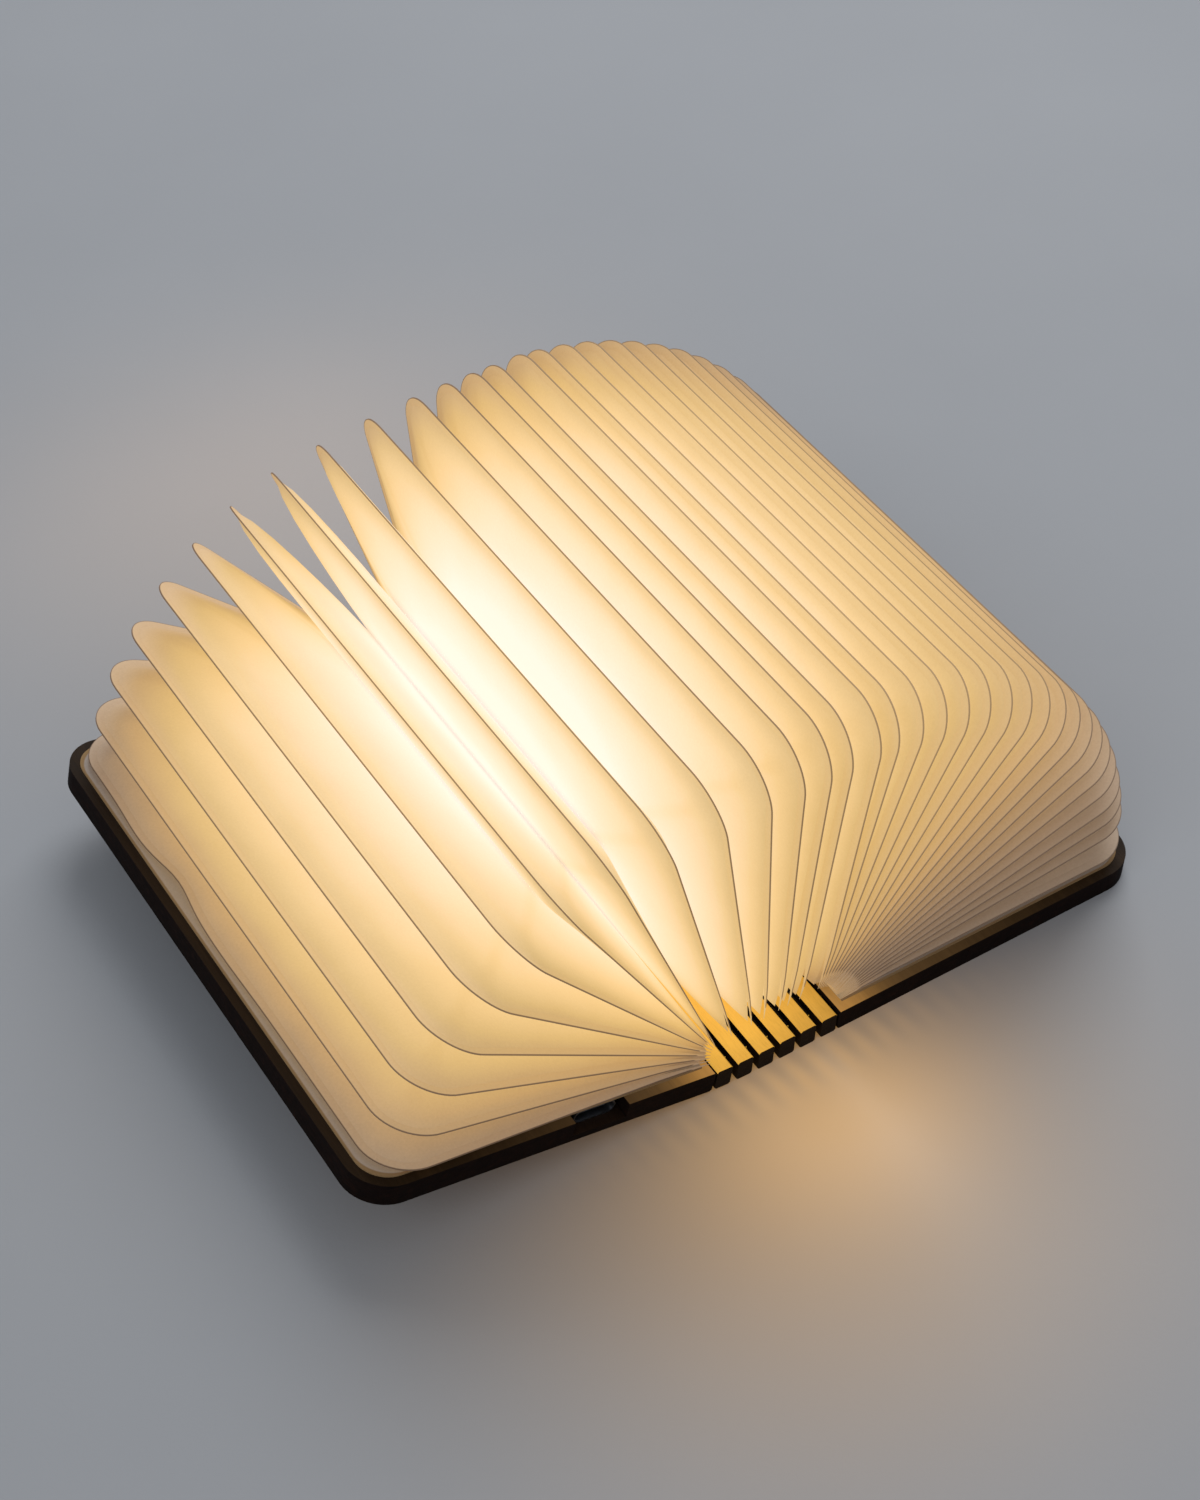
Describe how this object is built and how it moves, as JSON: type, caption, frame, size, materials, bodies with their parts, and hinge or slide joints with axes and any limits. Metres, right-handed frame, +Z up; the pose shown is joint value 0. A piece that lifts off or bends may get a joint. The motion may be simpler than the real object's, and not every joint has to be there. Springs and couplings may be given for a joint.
{
  "type": "folding book lamp",
  "caption": "Book-shaped lamp with wooden covers, a flexible slatted spine and a fan of glowing folded paper pages, shown open.",
  "frame": {"origin": "middle of the width and length of the open lamp, on the surface that it lies on", "axes": "+X across the open book towards the cover that lies flat, +Y along the spine away from the charging notch, +Z up"},
  "size_m": [0.1728, 0.122, 0.0793],
  "materials": {
    "outer_wood": "matte",
    "inner_wood": "matte",
    "slat_wood": "matte",
    "lining": "matte",
    "cloth": "matte",
    "paper": "matte",
    "battery_pouch": "satin",
    "board": "matte",
    "white_board": "matte",
    "socket_metal": "satin",
    "black_plastic": "matte",
    "lead_insulation": "satin",
    "diode": "gloss",
    "magnet_plating": "gloss"
  },
  "bodies": {
    "right_cover": {"right_outer_panel": "outer_wood", "right_inner_frame": "inner_wood", "right_liner": "lining", "right_magnets": "magnet_plating", "spine_cloth": "cloth", "paper_pleats": "paper"},
    "slat_f": {"slat_f": "slat_wood"},
    "slat_e": {"slat_e": "slat_wood"},
    "slat_d": {"slat_d": "slat_wood"},
    "slat_c": {"slat_c": "slat_wood"},
    "slat_b": {"slat_b": "slat_wood"},
    "slat_a": {"slat_a": "slat_wood"},
    "left_cover": {"left_outer_panel": "outer_wood", "left_inner_frame": "inner_wood", "left_liner": "lining", "battery": "battery_pouch", "battery_leads": "lead_insulation", "charging_board": "board", "charging_socket": "socket_metal", "opening_sensor": "black_plastic", "light_board": "white_board", "leds": "diode", "light_leads": "lead_insulation", "left_magnets": "magnet_plating"},
    "page_33": {"page_33": "paper"},
    "page_32": {"page_32": "paper"},
    "page_31": {"page_31": "paper"},
    "page_30": {"page_30": "paper"},
    "page_29": {"page_29": "paper"},
    "page_28": {"page_28": "paper"},
    "page_27": {"page_27": "paper"},
    "page_26": {"page_26": "paper"},
    "page_25": {"page_25": "paper"},
    "page_24": {"page_24": "paper"},
    "page_23": {"page_23": "paper"},
    "page_22": {"page_22": "paper"},
    "page_21": {"page_21": "paper"},
    "page_20": {"page_20": "paper"},
    "page_19": {"page_19": "paper"},
    "page_18": {"page_18": "paper"},
    "page_17": {"page_17": "paper"},
    "page_16": {"page_16": "paper"},
    "page_15": {"page_15": "paper"},
    "page_14": {"page_14": "paper"},
    "page_13": {"page_13": "paper"},
    "page_12": {"page_12": "paper"},
    "page_11": {"page_11": "paper"},
    "page_10": {"page_10": "paper"},
    "page_09": {"page_09": "paper"},
    "page_08": {"page_08": "paper"},
    "page_07": {"page_07": "paper"},
    "page_06": {"page_06": "paper"},
    "page_05": {"page_05": "paper"},
    "page_04": {"page_04": "paper"},
    "page_03": {"page_03": "paper"},
    "page_02": {"page_02": "paper"},
    "page_01": {"page_01": "paper"}
  },
  "joints": [
    {"name": "spine_hinge_1", "type": "hinge", "parent": "right_cover", "child": "slat_f", "pos_m": [0.01313, 0, 0.00235], "axis": [0, 1, 0], "range_deg": [-13.73, 12.02]},
    {"name": "spine_hinge_2", "type": "hinge", "parent": "slat_f", "child": "slat_e", "pos_m": [0.00883, 0, 0.00235], "axis": [0, 1, 0], "range_deg": [-35.68, 31.22]},
    {"name": "spine_hinge_3", "type": "hinge", "parent": "slat_e", "child": "slat_d", "pos_m": [0.00413, 0, 0.00235], "axis": [0, 1, 0], "range_deg": [-35.68, 31.22]},
    {"name": "spine_hinge_4", "type": "hinge", "parent": "slat_d", "child": "slat_c", "pos_m": [-0.00057, 0, 0.00235], "axis": [0, 1, 0], "range_deg": [-34.53, 30.22]},
    {"name": "spine_hinge_5", "type": "hinge", "parent": "slat_c", "child": "slat_b", "pos_m": [-0.00527, 0, 0.00243], "axis": [0, 1, 0], "range_deg": [-33.96, 29.72]},
    {"name": "spine_hinge_6", "type": "hinge", "parent": "slat_b", "child": "slat_a", "pos_m": [-0.00997, 0, 0.00264], "axis": [0, 1, 0], "range_deg": [-31.68, 27.72]},
    {"name": "spine_hinge_7", "type": "hinge", "parent": "slat_a", "child": "left_cover", "pos_m": [-0.01424, 0, 0.00309], "axis": [0, 1, 0], "range_deg": [-6.88, 6.02]},
    {"name": "page_hinge_33", "type": "hinge", "parent": "right_cover", "child": "page_33", "pos_m": [0.01432, 0, -0.01618], "axis": [0, 1, 0], "range_deg": [-4, 3.5], "deforming": ["paper_pleats", "spine_cloth"]},
    {"name": "page_hinge_32", "type": "hinge", "parent": "page_33", "child": "page_32", "pos_m": [0.01436, 0, -0.0013], "axis": [0, 1, 0], "range_deg": [-7.45, 6.52]},
    {"name": "page_hinge_31", "type": "hinge", "parent": "page_32", "child": "page_31", "pos_m": [0.0121, 0, 0.01001], "axis": [0, 1, 0], "range_deg": [-4.36, 3.82]},
    {"name": "page_hinge_30", "type": "hinge", "parent": "page_31", "child": "page_30", "pos_m": [0.01326, 0, 0.00477], "axis": [0, 1, 0], "range_deg": [-4.36, 3.82]},
    {"name": "page_hinge_29", "type": "hinge", "parent": "page_30", "child": "page_29", "pos_m": [0.01331, 0, 0.00551], "axis": [0, 1, 0], "range_deg": [-5.38, 4.71]},
    {"name": "page_hinge_28", "type": "hinge", "parent": "page_29", "child": "page_28", "pos_m": [0.01268, 0, 0.00704], "axis": [0, 1, 0], "range_deg": [-5.38, 4.71]},
    {"name": "page_hinge_27", "type": "hinge", "parent": "page_28", "child": "page_27", "pos_m": [0.0125, 0, 0.00726], "axis": [0, 1, 0], "range_deg": [-5.38, 4.71]},
    {"name": "page_hinge_26", "type": "hinge", "parent": "page_27", "child": "page_26", "pos_m": [0.01226, 0, 0.00752], "axis": [0, 1, 0], "range_deg": [-5.38, 4.71]},
    {"name": "page_hinge_25", "type": "hinge", "parent": "page_26", "child": "page_25", "pos_m": [0.01203, 0, 0.00773], "axis": [0, 1, 0], "range_deg": [-5.38, 4.71]},
    {"name": "page_hinge_24", "type": "hinge", "parent": "page_25", "child": "page_24", "pos_m": [0.0118, 0, 0.0079], "axis": [0, 1, 0], "range_deg": [-5.38, 4.71]},
    {"name": "page_hinge_23", "type": "hinge", "parent": "page_24", "child": "page_23", "pos_m": [0.01158, 0, 0.00803], "axis": [0, 1, 0], "range_deg": [-5.38, 4.71]},
    {"name": "page_hinge_22", "type": "hinge", "parent": "page_23", "child": "page_22", "pos_m": [0.01137, 0, 0.00813], "axis": [0, 1, 0], "range_deg": [-5.38, 4.71]},
    {"name": "page_hinge_21", "type": "hinge", "parent": "page_22", "child": "page_21", "pos_m": [0.01118, 0, 0.00819], "axis": [0, 1, 0], "range_deg": [-5.38, 4.71]},
    {"name": "page_hinge_20", "type": "hinge", "parent": "page_21", "child": "page_20", "pos_m": [0.01099, 0, 0.00824], "axis": [0, 1, 0], "range_deg": [-5.38, 4.71]},
    {"name": "page_hinge_19", "type": "hinge", "parent": "page_20", "child": "page_19", "pos_m": [0.01074, 0, 0.00825], "axis": [0, 1, 0], "range_deg": [-5.02, 4.39]},
    {"name": "page_hinge_18", "type": "hinge", "parent": "page_19", "child": "page_18", "pos_m": [-0.04977, 0, 0.02899], "axis": [0, 1, 0], "range_deg": [-5.02, 4.39]},
    {"name": "page_hinge_17", "type": "hinge", "parent": "page_18", "child": "page_17", "pos_m": [-0.04012, 0, 0.02145], "axis": [0, 1, 0], "range_deg": [-5.02, 4.39]},
    {"name": "page_hinge_16", "type": "hinge", "parent": "page_17", "child": "page_16", "pos_m": [-0.02046, 0, 0.01387], "axis": [0, 1, 0], "range_deg": [-5.02, 4.39]},
    {"name": "page_hinge_15", "type": "hinge", "parent": "page_16", "child": "page_15", "pos_m": [0.02463, 0, 0.00651], "axis": [0, 1, 0], "range_deg": [-3.68, 3.22]},
    {"name": "page_hinge_14", "type": "hinge", "parent": "page_15", "child": "page_14", "pos_m": [-0.02952, 0, -0.12834], "axis": [0, 1, 0], "range_deg": [-1.79, 1.57]},
    {"name": "page_hinge_13", "type": "hinge", "parent": "page_14", "child": "page_13", "pos_m": [0.00877, 0, -0.07849], "axis": [0, 1, 0], "range_deg": [-1.79, 1.57]},
    {"name": "page_hinge_12", "type": "hinge", "parent": "page_13", "child": "page_12", "pos_m": [0.00355, 0, -0.02083], "axis": [0, 1, 0], "range_deg": [-3.68, 3.22]},
    {"name": "page_hinge_11", "type": "hinge", "parent": "page_12", "child": "page_11", "pos_m": [0.00221, 0, -0.04473], "axis": [0, 1, 0], "range_deg": [-3.68, 3.22]},
    {"name": "page_hinge_10", "type": "hinge", "parent": "page_11", "child": "page_10", "pos_m": [-0.00106, 0, -0.0148], "axis": [0, 1, 0], "range_deg": [-6.65, 5.82]},
    {"name": "page_hinge_09", "type": "hinge", "parent": "page_10", "child": "page_09", "pos_m": [-0.003, 0, -0.03048], "axis": [0, 1, 0], "range_deg": [-6.31, 5.52]},
    {"name": "page_hinge_08", "type": "hinge", "parent": "page_09", "child": "page_08", "pos_m": [-0.0079, 0, -0.02347], "axis": [0, 1, 0], "range_deg": [-6.31, 5.52]},
    {"name": "page_hinge_07", "type": "hinge", "parent": "page_08", "child": "page_07", "pos_m": [-0.01178, 0, 0.01], "axis": [0, 1, 0], "range_deg": [-9.22, 8.07]},
    {"name": "page_hinge_06", "type": "hinge", "parent": "page_07", "child": "page_06", "pos_m": [-0.005, 0, 0.01412], "axis": [0, 1, 0], "range_deg": [-9.22, 8.07]},
    {"name": "page_hinge_05", "type": "hinge", "parent": "page_06", "child": "page_05", "pos_m": [0.0195, 0, 0.03679], "axis": [0, 1, 0], "range_deg": [-9.22, 8.07]},
    {"name": "page_hinge_04", "type": "hinge", "parent": "page_05", "child": "page_04", "pos_m": [0.00639, 0, 0.02978], "axis": [0, 1, 0], "range_deg": [-9.22, 8.07]},
    {"name": "page_hinge_03", "type": "hinge", "parent": "page_04", "child": "page_03", "pos_m": [-0.01253, 0, 0.0068], "axis": [0, 1, 0], "range_deg": [-9.22, 8.07]},
    {"name": "page_hinge_02", "type": "hinge", "parent": "page_03", "child": "page_02", "pos_m": [-0.01284, 0, 0.0062], "axis": [0, 1, 0], "range_deg": [-9.22, 8.07]},
    {"name": "page_hinge_01", "type": "hinge", "parent": "page_02", "child": "page_01", "pos_m": [-0.02321, 0, -0.02682], "axis": [0, 1, 0], "range_deg": [-8.25, 7.22]}
  ],
  "couplings": [
    {"joint": "spine_hinge_1", "follows": "page_hinge_33", "ratio": 3.4286},
    {"joint": "spine_hinge_2", "follows": "page_hinge_33", "ratio": 8.9143},
    {"joint": "spine_hinge_3", "follows": "page_hinge_33", "ratio": 8.9143},
    {"joint": "spine_hinge_4", "follows": "page_hinge_33", "ratio": 8.6286},
    {"joint": "spine_hinge_5", "follows": "page_hinge_33", "ratio": 8.4857},
    {"joint": "spine_hinge_6", "follows": "page_hinge_33", "ratio": 7.9143},
    {"joint": "spine_hinge_7", "follows": "page_hinge_33", "ratio": 1.7143},
    {"joint": "page_hinge_32", "follows": "page_hinge_33", "ratio": 1.8571},
    {"joint": "page_hinge_31", "follows": "page_hinge_33", "ratio": 1.0857},
    {"joint": "page_hinge_30", "follows": "page_hinge_33", "ratio": 1.0857},
    {"joint": "page_hinge_29", "follows": "page_hinge_33", "ratio": 1.34},
    {"joint": "page_hinge_28", "follows": "page_hinge_33", "ratio": 1.34},
    {"joint": "page_hinge_27", "follows": "page_hinge_33", "ratio": 1.34},
    {"joint": "page_hinge_26", "follows": "page_hinge_33", "ratio": 1.34},
    {"joint": "page_hinge_25", "follows": "page_hinge_33", "ratio": 1.34},
    {"joint": "page_hinge_24", "follows": "page_hinge_33", "ratio": 1.34},
    {"joint": "page_hinge_23", "follows": "page_hinge_33", "ratio": 1.34},
    {"joint": "page_hinge_22", "follows": "page_hinge_33", "ratio": 1.34},
    {"joint": "page_hinge_21", "follows": "page_hinge_33", "ratio": 1.34},
    {"joint": "page_hinge_20", "follows": "page_hinge_33", "ratio": 1.34},
    {"joint": "page_hinge_19", "follows": "page_hinge_33", "ratio": 1.25},
    {"joint": "page_hinge_18", "follows": "page_hinge_33", "ratio": 1.25},
    {"joint": "page_hinge_17", "follows": "page_hinge_33", "ratio": 1.25},
    {"joint": "page_hinge_16", "follows": "page_hinge_33", "ratio": 1.25},
    {"joint": "page_hinge_15", "follows": "page_hinge_33", "ratio": 0.91429},
    {"joint": "page_hinge_14", "follows": "page_hinge_33", "ratio": 0.44286},
    {"joint": "page_hinge_13", "follows": "page_hinge_33", "ratio": 0.44286},
    {"joint": "page_hinge_12", "follows": "page_hinge_33", "ratio": 0.91429},
    {"joint": "page_hinge_11", "follows": "page_hinge_33", "ratio": 0.91429},
    {"joint": "page_hinge_10", "follows": "page_hinge_33", "ratio": 1.6571},
    {"joint": "page_hinge_09", "follows": "page_hinge_33", "ratio": 1.5714},
    {"joint": "page_hinge_08", "follows": "page_hinge_33", "ratio": 1.5714},
    {"joint": "page_hinge_07", "follows": "page_hinge_33", "ratio": 2.3},
    {"joint": "page_hinge_06", "follows": "page_hinge_33", "ratio": 2.3},
    {"joint": "page_hinge_05", "follows": "page_hinge_33", "ratio": 2.3},
    {"joint": "page_hinge_04", "follows": "page_hinge_33", "ratio": 2.3},
    {"joint": "page_hinge_03", "follows": "page_hinge_33", "ratio": 2.3},
    {"joint": "page_hinge_02", "follows": "page_hinge_33", "ratio": 2.3},
    {"joint": "page_hinge_01", "follows": "page_hinge_33", "ratio": 2.0571}
  ]
}
